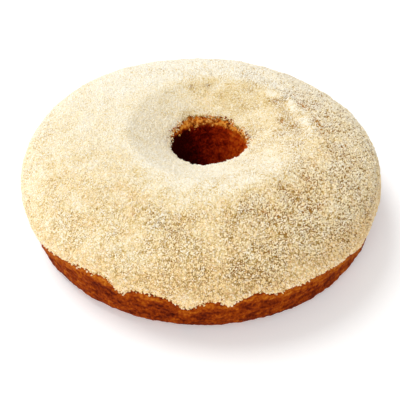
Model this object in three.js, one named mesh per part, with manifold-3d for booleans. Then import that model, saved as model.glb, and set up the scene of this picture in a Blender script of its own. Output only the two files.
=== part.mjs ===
import * as THREE from "three";
import { mergeVertices } from "three/addons/utils/BufferGeometryUtils.js";
import Module from "manifold-3d";

// Milk powder cake: a baked ring with a funnel-shaped hole, and the coat of milk powder over it.
// Lengths are millimetres and angles degrees. The cake stands on z = 0, its front faces -Y, and
// azimuth 0 is +X.

// Baked ring, without its coat
const BASE_RADIUS = 117.2;
const BASE_CORNER = 9;
const WIDEST_RADIUS = 117.4;
const WIDEST_HEIGHT = 29;
const SHOULDER_FULLNESS = 3.6;
const SHOULDER_FLATNESS = 1.8;
const CREST_RADIUS = 61;
const CREST_HEIGHT = 59.6;
const CREST_ROLL = 9;
const FUNNEL_SLOPE = 27;
const FUNNEL_FOOT_RADIUS = 27;
const MOUTH_ROLL = 4;
const HOLE_TAPER = 4;
const HOLE_CORNER = 2.5;

// The ring rose unevenly, so its base, its crest and its hole lie off the middle, and its top swells
// and sinks in slow waves round the ring
const BASE_SHIFT = new THREE.Vector2(1.5, 0);
const CREST_SHIFT = new THREE.Vector2(12.5, -3);
const HOLE_SHIFT = new THREE.Vector2(6, 0);
const RISE_WAVES = [
  { count: 2, rise: 1, highAt: 127 },
  { count: 5, rise: 0.3, highAt: 0 },
];

// Crags of the bare crust, which fade out towards the powder and the flat base
const CRUST_CRAG = 0.6;
const CRAG_FADE = {
  belowMouth: { from: 0, to: 4 },
  belowPowder: { from: 3, to: 7 },
  aboveBase: { from: 2, to: BASE_CORNER },
};

// Coat of milk powder
const COAT_GAP = 0.3;
const COAT_EDGE_GAP = 0.6;
const COAT_THICKNESS = 1.7;
const COAT_RIM_THICKNESS = 0.9;
const COAT_LUMPS = 0.4;
const COAT_EDGE_HEIGHT = 25.5;
const COAT_EDGE_WAVES = [
  { count: 1, rise: 3.1, highAt: -145 },
  { count: 13, rise: 0.4, highAt: 0 },
  { count: 29, rise: 0.24, highAt: -4 },
];
const MOUTH_EDGE_LIFT = 0.12;
const MOUTH_EDGE_RIPPLE = 0.07;
const CREST_RIDGE = { azimuth: 15, length: 36, radius: 58, width: 7, rise: 1.6 };
const CLUMP_COUNT = 125;
const CLUMP_RADIUS = { smallest: 1.1, largest: 1.7 };
const CLUMP_LIFT = 0.3;

// Places where the powder's lower edge rises or runs down, the first nine of them at the front
const EDGE_BUMPS = [
  { azimuth: -146, rise: -9.5, width: 12 },
  { azimuth: -119, rise: 3.9, width: 8.5 },
  { azimuth: -110.8, rise: -7, width: 2.1 },
  { azimuth: -103, rise: 1.4, width: 4 },
  { azimuth: -93, rise: -6.4, width: 3.2 },
  { azimuth: -82.5, rise: -4.2, width: 1.9 },
  { azimuth: -75.6, rise: 4.2, width: 3.2 },
  { azimuth: -60, rise: 1.5, width: 9 },
  { azimuth: -37, rise: -7, width: 6 },
  { azimuth: 18, rise: 3, width: 9 },
  { azimuth: 52, rise: -3, width: 6 },
  { azimuth: 88, rise: 4, width: 12 },
  { azimuth: 121, rise: -3.5, width: 5 },
  { azimuth: 168, rise: -2.5, width: 6 },
];

// Rows and segments of the faceted surfaces
const SEGMENTS = 96;
const CORNER_STEPS = 2;
const FLANK_STEPS = 3;
const SHOULDER_STEPS = 6;
const CREST_STEPS = 2;
const HOLE_STEPS = 4;
const COAT_START = 1 / 3;
const COAT_FACES = {
  inner: { edgeSteps: 4, shoulderSteps: 4, funnelSteps: 1 },
  outer: { edgeSteps: 6, shoulderSteps: 8, funnelSteps: 5 },
};

const radians = THREE.MathUtils.degToRad;
const lerp = THREE.MathUtils.lerp;
const { smoothstep } = THREE.MathUtils;

// Seeded random numbers between 0 and 1
function randomStream(seed) {
  let state = seed;
  return () => {
    state = (Math.imul(state, 1664525) + 1013904223) >>> 0;
    return state / 2 ** 32;
  };
}

// One place on the ring's section: its radius and height, the way its surface faces, and the
// centre of the circle that it makes round the ring
function station(radius, height, facing, shift) {
  const normal = new THREE.Vector2(Math.cos(radians(facing)), Math.sin(radians(facing)));
  return { radius, height, normal, shift: shift.clone() };
}

// Round stretch of the section, from one facing to another
function roll(centre, radius, fromFacing, toFacing, steps, shift) {
  return Array.from({ length: steps + 1 }, (_, step) => {
    const facing = lerp(fromFacing, toFacing, step / steps);
    const across = radius * Math.cos(radians(facing));
    const up = radius * Math.sin(radians(facing));
    return station(centre.x + across, centre.y + up, facing, shift);
  });
}

// Sum of some waves round the ring
function waveSum(waves, azimuth) {
  return waves.reduce((sum, { count, rise, highAt }) =>
    sum + rise * Math.cos(count * (azimuth - radians(highAt))), 0);
}

// Degrees from one azimuth to another, between -180 and 180
function turnFrom(middle, azimuth) {
  const turn = THREE.MathUtils.radToDeg(azimuth) - middle;
  return THREE.MathUtils.euclideanModulo(turn + 180, 360) - 180;
}

// Outer side below the widest ring: it stands nearly upright and leans a little to one side
function flankStation(height) {
  const reach = WIDEST_RADIUS - BASE_RADIUS;
  const span = WIDEST_HEIGHT - BASE_CORNER;
  const turn = ((height - BASE_CORNER) / span) * (Math.PI / 2);
  const lean = reach * Math.cos(turn) * (Math.PI / 2 / span);
  const facing = -THREE.MathUtils.radToDeg(Math.atan(lean));
  const shift = BASE_SHIFT.clone().multiplyScalar(1 - Math.sin(turn));
  return station(BASE_RADIUS + reach * Math.sin(turn), height, facing, shift);
}

// Domed shoulder from the widest ring, where share is 0, to the crest, where it is 1
function shoulderStation(share) {
  const out = 1 - share * share;
  const left = 1 - out ** SHOULDER_FULLNESS;
  const rise = left ** (1 / SHOULDER_FLATNESS);
  const reach = WIDEST_RADIUS - CREST_RADIUS;
  const swell = CREST_HEIGHT - WIDEST_HEIGHT;
  const bend = (SHOULDER_FULLNESS / SHOULDER_FLATNESS) * out ** (SHOULDER_FULLNESS - 1);
  const facing = Math.atan2(reach, swell * bend * left ** (1 / SHOULDER_FLATNESS - 1));
  return station(
    CREST_RADIUS + reach * out,
    WIDEST_HEIGHT + swell * rise,
    THREE.MathUtils.radToDeg(facing),
    CREST_SHIFT.clone().multiplyScalar((1 - out) ** 3),
  );
}

// The outer side at any height up to the crest
function sideStation(height) {
  if (height <= WIDEST_HEIGHT) {
    return flankStation(height);
  }
  const rise = (height - WIDEST_HEIGHT) / (CREST_HEIGHT - WIDEST_HEIGHT);
  const out = (1 - rise ** SHOULDER_FLATNESS) ** (1 / SHOULDER_FULLNESS);
  return shoulderStation(Math.sqrt(1 - out));
}

// Rounded crest, and the straight funnel from its foot to the mouth of the hole
const crestCentre = new THREE.Vector2(CREST_RADIUS, CREST_HEIGHT - CREST_ROLL);
const funnelFacing = 90 + FUNNEL_SLOPE;
const crestRoll = roll(crestCentre, CREST_ROLL, 90, funnelFacing, CREST_STEPS, CREST_SHIFT);
const funnelTop = crestRoll.at(-1);
const funnelDrop = (funnelTop.radius - FUNNEL_FOOT_RADIUS) * Math.tan(radians(FUNNEL_SLOPE));

function funnelStation(share) {
  return station(
    lerp(funnelTop.radius, FUNNEL_FOOT_RADIUS, share),
    funnelTop.height - funnelDrop * share,
    funnelFacing,
    CREST_SHIFT.clone().lerp(HOLE_SHIFT, share),
  );
}

// Rounded mouth, tapered hole and the small corner where the hole meets the base
const funnelFoot = funnelStation(1);
const mouthCentre = new THREE.Vector2(
  funnelFoot.radius - MOUTH_ROLL * funnelFoot.normal.x,
  funnelFoot.height - MOUTH_ROLL * funnelFoot.normal.y,
);
const holeFacing = 180 - HOLE_TAPER;
const mouthRoll = roll(mouthCentre, MOUTH_ROLL, funnelFacing, holeFacing, CORNER_STEPS, HOLE_SHIFT);
const holeTop = mouthRoll.at(-1);

function holeStation(height) {
  const narrowing = (holeTop.height - height) * Math.tan(radians(HOLE_TAPER));
  return station(holeTop.radius - narrowing, height, holeFacing, HOLE_SHIFT);
}

const holeFoot = holeStation(HOLE_CORNER);
const holeCorner = roll(
  new THREE.Vector2(holeFoot.radius + HOLE_CORNER, HOLE_CORNER),
  HOLE_CORNER, holeFacing, 270, CORNER_STEPS, HOLE_SHIFT,
);

// Slow swelling and sinking of the ring as it rose, the same for the ring and its coat
function unevenRise(azimuth, height) {
  return waveSum(RISE_WAVES, azimuth) * smoothstep(height, BASE_CORNER, WIDEST_HEIGHT);
}

// A point on the ring, lifted off its baked surface
function pointOn(place, azimuth, lift) {
  const outward = lift + unevenRise(azimuth, place.height);
  const radius = place.radius + place.normal.x * outward;
  return new THREE.Vector3(
    place.shift.x + radius * Math.cos(azimuth),
    place.shift.y + radius * Math.sin(azimuth),
    place.height + place.normal.y * outward,
  );
}

// Height of the powder's wavy lower edge
function coatEdgeHeight(azimuth) {
  const waved = COAT_EDGE_HEIGHT + waveSum(COAT_EDGE_WAVES, azimuth);
  return EDGE_BUMPS.reduce((height, bump) =>
    height + bump.rise * Math.exp(-((turnFrom(bump.azimuth, azimuth) / bump.width) ** 2)), waved);
}

// Closed ring solid: a lathe of the section's rows, each row then set to its place at each azimuth
function ringSolid(rowCount, placeRow) {
  const outline = Array.from({ length: rowCount + 1 }, (_, row) => {
    const angle = (row / rowCount) * Math.PI * 2;
    return new THREE.Vector2(2 + Math.cos(angle), Math.sin(angle));
  });
  const geometry = new THREE.LatheGeometry(outline, SEGMENTS).rotateX(Math.PI / 2);
  const position = geometry.getAttribute("position");
  const rowsBySegment = Array.from({ length: SEGMENTS }, (_, segment) => {
    const azimuth = (segment / SEGMENTS) * Math.PI * 2 - Math.PI / 2;
    return placeRow(azimuth);
  });
  for (let index = 0; index < position.count; index += 1) {
    const segment = Math.floor(index / outline.length) % SEGMENTS;
    const row = (index % outline.length) % rowCount;
    position.setXYZ(index, ...rowsBySegment[segment][row]);
  }
  geometry.deleteAttribute("normal");
  geometry.deleteAttribute("uv");
  return mergeVertices(geometry);
}

// Section of the baked ring, from the base round the outside, over the top and down the hole
const baseCentre = new THREE.Vector2(BASE_RADIUS - BASE_CORNER, BASE_CORNER);
const ringSection = [
  ...roll(baseCentre, BASE_CORNER, -90, 0, CORNER_STEPS, BASE_SHIFT),
  ...Array.from({ length: FLANK_STEPS }, (_, step) =>
    flankStation(lerp(BASE_CORNER, WIDEST_HEIGHT, (step + 1) / FLANK_STEPS))),
  ...Array.from({ length: SHOULDER_STEPS }, (_, step) =>
    shoulderStation((step + 1) / SHOULDER_STEPS)),
  ...crestRoll.slice(1),
  ...mouthRoll,
  ...Array.from({ length: HOLE_STEPS - 1 }, (_, step) =>
    holeStation(lerp(holeTop.height, HOLE_CORNER, (step + 1) / HOLE_STEPS))),
  ...holeCorner,
];

// Craggy crust where no powder covers it, away from the flat base
const cragDraw = randomStream(11);
function cragLift(place, azimuth) {
  const crag = (cragDraw() * 2 - 1) * CRUST_CRAG;
  const inHole = place.radius < FUNNEL_FOOT_RADIUS;
  const { belowMouth, belowPowder, aboveBase } = CRAG_FADE;
  const clearOfCoat = inHole
    ? smoothstep(holeTop.height - place.height, belowMouth.from, belowMouth.to)
    : smoothstep(coatEdgeHeight(azimuth) - place.height, belowPowder.from, belowPowder.to);
  return crag * clearOfCoat * smoothstep(place.height, aboveBase.from, aboveBase.to);
}

const cakeGeometry = ringSolid(ringSection.length, (azimuth) =>
  ringSection.map((place) => pointOn(place, azimuth, cragLift(place, azimuth))));

// Ragged inner edge of the coat, where the powder stops just above the hole: higher at the back
const mouthDraw = randomStream(23);
const mouthRagged = Array.from({ length: SEGMENTS }, () => mouthDraw());
function mouthEdge(azimuth) {
  const segment = THREE.MathUtils.euclideanModulo(azimuth / (Math.PI * 2), 1) * SEGMENTS;
  const ragged = MOUTH_EDGE_RIPPLE * mouthRagged[Math.round(segment) % SEGMENTS];
  return 1 - MOUTH_EDGE_LIFT * (0.5 + 0.5 * Math.sin(azimuth)) - ragged;
}

// Rows of one face of the coat: from its wavy lower edge up to the shoulder, over the top and
// down the funnel to its inner edge
function coatRows(azimuth, { edgeSteps, shoulderSteps, funnelSteps }) {
  const edge = coatEdgeHeight(azimuth);
  const start = shoulderStation(COAT_START);
  const mouth = mouthEdge(azimuth);
  return [
    ...Array.from({ length: edgeSteps }, (_, step) =>
      sideStation(lerp(edge, start.height, step / edgeSteps))),
    ...Array.from({ length: shoulderSteps }, (_, step) =>
      shoulderStation(lerp(COAT_START, 1, step / shoulderSteps))),
    ...crestRoll,
    ...Array.from({ length: funnelSteps }, (_, step) =>
      funnelStation(mouth * (step + 1) / funnelSteps)),
  ];
}

// The coat is lumpy outside, thinner at its two edges and heaped on part of the crest
const lumpDraw = randomStream(37);
function coatThickness(place, azimuth, atEdge) {
  const along = Math.exp(-((turnFrom(CREST_RIDGE.azimuth, azimuth) / CREST_RIDGE.length) ** 2));
  const across = Math.exp(-(((place.radius - CREST_RIDGE.radius) / CREST_RIDGE.width) ** 2));
  const lump = (lumpDraw() * 2 - 1) * COAT_LUMPS;
  return (atEdge ? COAT_RIM_THICKNESS : COAT_THICKNESS) + lump + CREST_RIDGE.rise * along * across;
}

function coatSection(azimuth) {
  const outerRows = coatRows(azimuth, COAT_FACES.outer);
  const outer = outerRows.map((place, row) => {
    const atEdge = row === 0 || row === outerRows.length - 1;
    return pointOn(place, azimuth, COAT_GAP + coatThickness(place, azimuth, atEdge));
  });
  const inner = coatRows(azimuth, COAT_FACES.inner).map((place, row) =>
    pointOn(place, azimuth, row < COAT_FACES.inner.edgeSteps ? COAT_EDGE_GAP : COAT_GAP));
  return [...outer, ...inner.reverse()];
}

const coatGeometry = ringSolid(coatSection(0).length, coatSection);

// Larger clumps of powder, spread evenly over the coat between its two edges: each next clump
// turns by the golden angle and moves on by an equal area
const GOLDEN_TURN = Math.PI * (3 - Math.sqrt(5));
const clumpDraw = randomStream(53);

function areaBelow(rows) {
  const areas = [0];
  for (let row = 1; row < rows.length; row += 1) {
    const along = Math.hypot(rows[row].radius - rows[row - 1].radius,
      rows[row].height - rows[row - 1].height);
    areas.push(areas[row - 1] + along * (rows[row].radius + rows[row - 1].radius) / 2);
  }
  return areas;
}

function placeAtArea(rows, areas, area) {
  const row = Math.max(1, areas.findIndex((value) => value >= area));
  const share = (area - areas[row - 1]) / (areas[row] - areas[row - 1]);
  const [from, to] = [rows[row - 1], rows[row]];
  return {
    radius: lerp(from.radius, to.radius, share),
    height: lerp(from.height, to.height, share),
    normal: from.normal.clone().lerp(to.normal, share).normalize(),
    shift: from.shift.clone().lerp(to.shift, share),
  };
}

function clump(index) {
  const azimuth = (index + 0.5 * clumpDraw()) * GOLDEN_TURN;
  const rows = coatRows(azimuth, COAT_FACES.outer).slice(1, -1);
  const areas = areaBelow(rows);
  const place = placeAtArea(rows, areas, areas.at(-1) * ((index + clumpDraw()) / CLUMP_COUNT));
  const radius = lerp(CLUMP_RADIUS.smallest, CLUMP_RADIUS.largest, clumpDraw());
  const turned = new THREE.Euler(...[0, 0, 0].map(() => clumpDraw() * Math.PI * 2));
  const centre = pointOn(place, azimuth, COAT_GAP + COAT_THICKNESS + CLUMP_LIFT * radius);
  const shape = new THREE.Matrix4().makeRotationFromEuler(turned).setPosition(centre);
  return new THREE.OctahedronGeometry(radius, 0).applyMatrix4(shape);
}

const wasm = await Module();
wasm.setup();

function toSolid(geometry) {
  const closed = geometry.clone();
  closed.deleteAttribute("normal");
  closed.deleteAttribute("uv");
  const merged = mergeVertices(closed);
  return new wasm.Manifold(new wasm.Mesh({
    numProp: 3,
    vertProperties: new Float32Array(merged.getAttribute("position").array),
    triVerts: new Uint32Array(merged.index.array),
  }));
}

function toGeometry(solid) {
  const mesh = solid.getMesh();
  const geometry = new THREE.BufferGeometry();
  geometry.setAttribute("position", new THREE.BufferAttribute(mesh.vertProperties, 3));
  geometry.setIndex(new THREE.BufferAttribute(mesh.triVerts, 1));
  return geometry;
}

let coatSolid = toSolid(coatGeometry);
for (let index = 0; index < CLUMP_COUNT; index += 1) {
  coatSolid = coatSolid.add(toSolid(clump(index)));
}

// The origin is below the middle of the whole cake, on its base
const coatedGeometry = toGeometry(coatSolid);
const box = new THREE.Box3().setFromBufferAttribute(coatedGeometry.getAttribute("position"));
const middle = box.getCenter(new THREE.Vector3());

function piece(name, geometry, colour, roughness) {
  geometry.translate(-middle.x, -middle.y, 0);
  const material = new THREE.MeshStandardMaterial({ color: colour, roughness, metalness: 0 });
  const mesh = new THREE.Mesh(geometry, material);
  mesh.name = name;
  return mesh;
}

const milkPowderCake = new THREE.Group();
milkPowderCake.add(piece("cake_ring", cakeGeometry, 0x9a4a1c, 0.75));
milkPowderCake.add(piece("milk_powder_coat", coatedGeometry, 0xecd7a8, 0.95));

export default milkPowderCake;
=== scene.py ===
import math

import bpy
import numpy as np
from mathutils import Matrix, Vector, noise


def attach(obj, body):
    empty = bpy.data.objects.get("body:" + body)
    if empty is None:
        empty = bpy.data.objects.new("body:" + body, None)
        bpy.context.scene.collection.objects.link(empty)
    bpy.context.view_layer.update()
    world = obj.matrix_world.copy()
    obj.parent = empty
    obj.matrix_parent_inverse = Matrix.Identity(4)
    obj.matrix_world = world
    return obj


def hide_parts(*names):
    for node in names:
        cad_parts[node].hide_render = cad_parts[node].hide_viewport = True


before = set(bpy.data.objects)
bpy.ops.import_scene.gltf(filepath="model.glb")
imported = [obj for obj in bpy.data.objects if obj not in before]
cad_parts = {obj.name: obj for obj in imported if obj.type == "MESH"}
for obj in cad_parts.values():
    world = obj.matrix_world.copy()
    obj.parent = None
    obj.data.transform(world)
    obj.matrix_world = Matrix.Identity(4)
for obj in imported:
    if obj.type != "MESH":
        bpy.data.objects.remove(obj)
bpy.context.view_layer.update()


# Baked ring
# A butter cake baked in a ring tin until its crust browned. It rose unevenly, so its crest and its
# hole lie a little to the right of the middle. The crust shows below the powder and in the hole.

# Its sizes in millimetres, from the base up over the crest and down into the hole
MM = 0.001
RING_MIDDLE = np.array([-0.945, 0.216])
BASE_RADIUS = 117.2
BASE_CORNER = 9.0
WIDEST_RADIUS = 117.4
WIDEST_HEIGHT = 29.0
SHOULDER_FULLNESS = 3.6
SHOULDER_FLATNESS = 1.8
CREST_RADIUS = 61.0
CREST_HEIGHT = 59.6
CREST_ROLL = 9.0
FUNNEL_SLOPE = math.radians(27)
FUNNEL_FOOT_RADIUS = 27.0
MOUTH_ROLL = 4.0
HOLE_TAPER = math.radians(4)
HOLE_CORNER = 2.5

# How far the middles of its base, crest and hole lie off the ring's own, and how late the crest's sets in
BASE_SHIFT = np.array([1.5, 0.0])
CREST_SHIFT = np.array([12.5, -3.0])
HOLE_SHIFT = np.array([6.0, 0.0])
LATE_SHIFT = 3

# Slow waves of its rise: waves round the ring, how high, and the azimuth of a high place
RISE_WAVES = [(2, 1.0, 127), (5, 0.3, 0)]

UP = math.pi / 2
ROLL_STEPS, FLANK_STEPS, SHOULDER_STEPS, SLOPE_STEPS, BASE_STEPS = 40, 80, 400, 120, 60


def smoothstep(value, low, high):
    """0 below one limit and 1 above the other, with a smooth change between them."""
    share = np.clip((value - low) / (high - low), 0, 1)
    return share * share * (3 - 2 * share)


def stretch(radius, height, facing, to_base=0.0, to_crest=0.0, to_hole=0.0):
    """Rows of one stretch of the ring's section, each with the way it faces and its centre's shift."""
    return np.stack(np.broadcast_arrays(radius, height, facing, to_base, to_crest, to_hole), axis=1)


def roll(centre_radius, centre_height, radius, start, end, **shifts):
    """Rows of a rounded stretch, which turns from facing one way to facing another."""
    facing = np.linspace(start, end, ROLL_STEPS)[1:]
    across = centre_radius + radius * np.cos(facing)
    up = centre_height + radius * np.sin(facing)
    return stretch(across, up, facing, **shifts)


# The outer side stands nearly upright, and the shoulder domes over from there to the crest
lean = np.linspace(0, UP, FLANK_STEPS)[1:]
flank_reach = WIDEST_RADIUS - BASE_RADIUS
flank_span = WIDEST_HEIGHT - BASE_CORNER
flank = stretch(
    BASE_RADIUS + flank_reach * np.sin(lean),
    BASE_CORNER + flank_span * lean / UP,
    -np.arctan(flank_reach * np.cos(lean) * UP / flank_span),
    to_base=1 - np.sin(lean),
)
reach_left = 1 - np.linspace(0, 1, SHOULDER_STEPS)[1:] ** 2
domed = 1 - reach_left**SHOULDER_FULLNESS
shoulder_reach = WIDEST_RADIUS - CREST_RADIUS
shoulder_rise = CREST_HEIGHT - WIDEST_HEIGHT
bend = SHOULDER_FULLNESS / SHOULDER_FLATNESS * reach_left ** (SHOULDER_FULLNESS - 1)
shoulder = stretch(
    CREST_RADIUS + shoulder_reach * reach_left,
    WIDEST_HEIGHT + shoulder_rise * domed ** (1 / SHOULDER_FLATNESS),
    np.arctan2(shoulder_reach, shoulder_rise * bend * domed ** (1 / SHOULDER_FLATNESS - 1)),
    to_crest=(1 - reach_left) ** LATE_SHIFT,
)
crest = roll(CREST_RADIUS, CREST_HEIGHT - CREST_ROLL, CREST_ROLL, UP, UP + FUNNEL_SLOPE, to_crest=1.0)

# The funnel falls straight to the mouth, and the hole narrows a little from there to the base
fall = np.linspace(0, 1, SLOPE_STEPS)[1:]
funnel_top_radius, funnel_top_height = crest[-1, :2]
funnel_run = funnel_top_radius - FUNNEL_FOOT_RADIUS
foot_height = funnel_top_height - funnel_run * math.tan(FUNNEL_SLOPE)
funnel = stretch(
    funnel_top_radius - funnel_run * fall,
    funnel_top_height + (foot_height - funnel_top_height) * fall,
    UP + FUNNEL_SLOPE,
    to_crest=1 - fall,
    to_hole=fall,
)
mouth = roll(
    FUNNEL_FOOT_RADIUS + MOUTH_ROLL * math.sin(FUNNEL_SLOPE),
    foot_height - MOUTH_ROLL * math.cos(FUNNEL_SLOPE),
    MOUTH_ROLL, UP + FUNNEL_SLOPE, math.pi - HOLE_TAPER, to_hole=1.0,
)
hole_heights = np.linspace(mouth[-1, 1], HOLE_CORNER, SLOPE_STEPS)[1:]
hole = stretch(
    mouth[-1, 0] - (mouth[-1, 1] - hole_heights) * math.tan(HOLE_TAPER),
    hole_heights, math.pi - HOLE_TAPER, to_hole=1.0,
)
hole_corner = roll(
    hole[-1, 0] + HOLE_CORNER, HOLE_CORNER, HOLE_CORNER, math.pi - HOLE_TAPER, 3 * UP, to_hole=1.0
)
across_base = np.linspace(0, 1, BASE_STEPS)
base = stretch(
    hole_corner[-1, 0] + (BASE_RADIUS - BASE_CORNER - hole_corner[-1, 0]) * across_base,
    0.0, -UP, to_base=across_base, to_hole=1 - across_base,
)
corner = roll(BASE_RADIUS - BASE_CORNER, BASE_CORNER, BASE_CORNER, -UP, 0, to_base=1.0)

stretches = {
    "base": base, "corner": corner, "flank": flank, "shoulder": shoulder, "crest": crest,
    "funnel": funnel, "mouth": mouth, "hole": hole, "hole_corner": hole_corner,
}
section = np.concatenate(list(stretches.values()))
steps = np.hypot(*np.diff(section[:, :2], axis=0).T)
section_arc = np.concatenate([[0], np.cumsum(steps)])
stretch_ends = np.cumsum([len(rows) for rows in stretches.values()]) - 1
ends_at = dict(zip(stretches, section_arc[stretch_ends]))


def wave_sum(waves, azimuth):
    """Sum of waves round the ring."""
    return sum(rise * np.cos(count * (azimuth - math.radians(high_at))) for count, rise, high_at in waves)


def ring_points(arc, azimuth, lift):
    """Points on the ring, in millimetres, at a distance along its section and lifted off its surface."""
    radius, height, facing, *shares = (np.interp(arc, section_arc, column) for column in section.T)
    lift = lift + wave_sum(RISE_WAVES, azimuth) * smoothstep(height, BASE_CORNER, WIDEST_HEIGHT)
    reach = radius + np.cos(facing) * lift
    middle = RING_MIDDLE + np.stack(shares, axis=-1) @ np.stack([BASE_SHIFT, CREST_SHIFT, HOLE_SHIFT])
    return np.stack(
        [
            middle[..., 0] + reach * np.cos(azimuth),
            middle[..., 1] + reach * np.sin(azimuth),
            height + np.sin(facing) * lift,
        ],
        axis=-1,
    )


def noise_at(points, size, seed):
    """Smooth noise between about -1 and 1, with lumps of the given size in millimetres."""
    places = points.reshape(-1, 3) / size + seed
    values = [noise.noise(Vector(place)) for place in places]
    return np.array(values).reshape(points.shape[:-1])


def ring_mesh(name, points, closed):
    """Mesh of rows of points that run round the ring, with a map unrolled round it and along it."""
    rows, columns = points.shape[:2]
    bands = rows if closed else rows - 1
    row, column = (grid.ravel() for grid in np.meshgrid(range(bands), range(columns), indexing="ij"))
    row_ends = np.stack([row, row, row + 1, row + 1], axis=1)
    column_ends = np.stack([column, column + 1, column + 1, column], axis=1)
    corners = (row_ends % rows) * columns + column_ends % columns
    mesh = bpy.data.meshes.new(name)
    mesh.vertices.add(rows * columns)
    mesh.vertices.foreach_set("co", (points * MM).ravel())
    mesh.loops.add(corners.size)
    mesh.loops.foreach_set("vertex_index", corners.ravel())
    mesh.polygons.add(len(corners))
    mesh.polygons.foreach_set("loop_start", np.arange(len(corners)) * 4)
    unrolled = np.stack([column_ends / columns, row_ends / bands], axis=-1)
    mesh.uv_layers.new(name="OFBake").data.foreach_set("uv", unrolled.ravel())
    mesh.update(calc_edges=True)
    mesh.validate()
    mesh.shade_smooth()
    return mesh


# The powder's lower edge: its height, the waves in it, and where it rises or runs down, each place by
# azimuth, rise and width
EDGE_HEIGHT = 25.5
EDGE_WAVES = [(1, 3.1, -145), (13, 0.4, 0), (29, 0.24, -4)]
EDGE_BUMPS = [
    (-146, -9.5, 12), (-119, 3.9, 8.5), (-110.8, -7, 2.1), (-103, 1.4, 4), (-93, -6.4, 3.2),
    (-82.5, -4.2, 1.9), (-75.6, 4.2, 3.2), (-60, 1.5, 9), (-37, -7, 6), (18, 3, 9), (52, -3, 6),
    (88, 4, 12), (121, -3.5, 5), (168, -2.5, 6),
]

# The powder's inner edge: how far it hangs into the mouth, how wide the bare lip is, and the share of
# that width by azimuth
MOUTH_OVERLAP = 3.0
BARE_LIP = 7.5
BARE_SHARES = np.array([
    (-25, 0.0), (0, 0.3), (45, 0.42), (62, 0.62), (90, 0.74), (115, 1.05), (126, 0.9), (140, 0.52),
    (155, 0.36), (180, 0.15), (205, 0.0),
])


def turn_from(azimuth, middle):
    """Degrees between an azimuth and the middle of something, from -180 to 180."""
    return (np.degrees(azimuth) - middle + 180) % 360 - 180


def bell(distance, width, steepness=2):
    """1 in the middle of something and 0 well away from it."""
    return np.exp(-((distance / width) ** steepness))


def coat_edge_height(azimuth):
    """Height of the powder's lower edge."""
    height = EDGE_HEIGHT + wave_sum(EDGE_WAVES, azimuth)
    for middle, rise, width in EDGE_BUMPS:
        height = height + rise * bell(turn_from(azimuth, middle), width)
    return height


def lip_share(azimuth):
    """How far the lip of the hole is bare: most at the back, not at all at the front."""
    return np.interp(np.degrees(azimuth), BARE_SHARES[:, 0], BARE_SHARES[:, 1], period=360)


def coat_edge_arcs(azimuth):
    """Where the coat starts and ends along the ring's section."""
    side = (section_arc >= ends_at["corner"]) & (section_arc <= ends_at["shoulder"])
    lower = np.interp(coat_edge_height(azimuth), section[side, 1], section_arc[side])
    return lower, ends_at["funnel"] + MOUTH_OVERLAP - BARE_LIP * lip_share(azimuth)


# The crust's rows lie close where it shows and a little way under the powder, and wide apart elsewhere
RING_COLUMNS = 640
CRUST_ROW, COVERED_ROW, BASE_ROW = 0.8, 4.0, 8.0
UNDER_POWDER = 8.0


def rows_between(start, end, spacing):
    """Even rows from a start up to an end that the next rows begin with."""
    return np.linspace(start, end, max(2, round((end - start) / spacing) + 1))[:-1]


covered_from = ends_at["flank"] + UNDER_POWDER
covered_to = ends_at["funnel"] - UNDER_POWDER
ring_arcs = np.concatenate([
    rows_between(0, ends_at["base"], BASE_ROW),
    rows_between(ends_at["base"], covered_from, CRUST_ROW),
    rows_between(covered_from, covered_to, COVERED_ROW),
    rows_between(covered_to, section_arc[-1], CRUST_ROW),
])
ring_azimuths = np.arange(RING_COLUMNS) / RING_COLUMNS * 2 * math.pi
arcs, azimuths = np.meshgrid(ring_arcs, ring_azimuths, indexing="ij")
smooth_crust = ring_points(arcs, azimuths, 0.0)

# Relief of the bare crust: swells, crags, fine crags, level splits and sunken pores, each with the size of
# its lumps and a seed. It fades out where the powder lies and at the base
SWELLS, CRAGS, FINE_CRAGS = (11.0, 3.1), (2.8, 17.0), (1.5, 31.0)
SPLITS, PORES = (2.0, 37.0), (2.0, 47.0)
SWELL_RISE, SPLIT_RISE = 0.35, 0.4
CRAG_RISE, CRAG_RISE_IN_HOLE = 0.4, 0.75
FINE_RISE, FINE_RISE_IN_HOLE = 0.2, 0.45
SPLIT_STRETCH = np.array([0.3, 0.3, 1.0])
PORE_RARITY, PORE_DEPTH = 0.2, 1.1
POWDER_FADE, BASE_FADE = (-1, 3), (0.2, 2.5)
MOUTH_FADE = 4.0


def blend(start, end, share):
    """A value between two, by a share of the way."""
    return start + (end - start) * share


coat_start, coat_end = coat_edge_arcs(azimuths)
bare = np.maximum(smoothstep(coat_start - arcs, *POWDER_FADE), smoothstep(arcs - coat_end, *POWDER_FADE))
bare = bare * smoothstep(smooth_crust[..., 2], *BASE_FADE)
in_hole = smoothstep(arcs, ends_at["funnel"] - MOUTH_FADE, ends_at["funnel"])
splits = noise_at(smooth_crust * SPLIT_STRETCH, *SPLITS)
crags = (
    SWELL_RISE * noise_at(smooth_crust, *SWELLS)
    + blend(CRAG_RISE, CRAG_RISE_IN_HOLE, in_hole) * noise_at(smooth_crust, *CRAGS)
    + blend(FINE_RISE, FINE_RISE_IN_HOLE, in_hole) * noise_at(smooth_crust, *FINE_CRAGS)
    + SPLIT_RISE * (1 - in_hole) * splits
)
pores = np.clip(noise_at(smooth_crust, *PORES) - PORE_RARITY, 0, 1)
crust_relief = bare * (crags - PORE_DEPTH * pores)
crust_mesh = ring_mesh("cake_crust", ring_points(arcs, azimuths, crust_relief), True)

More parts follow.
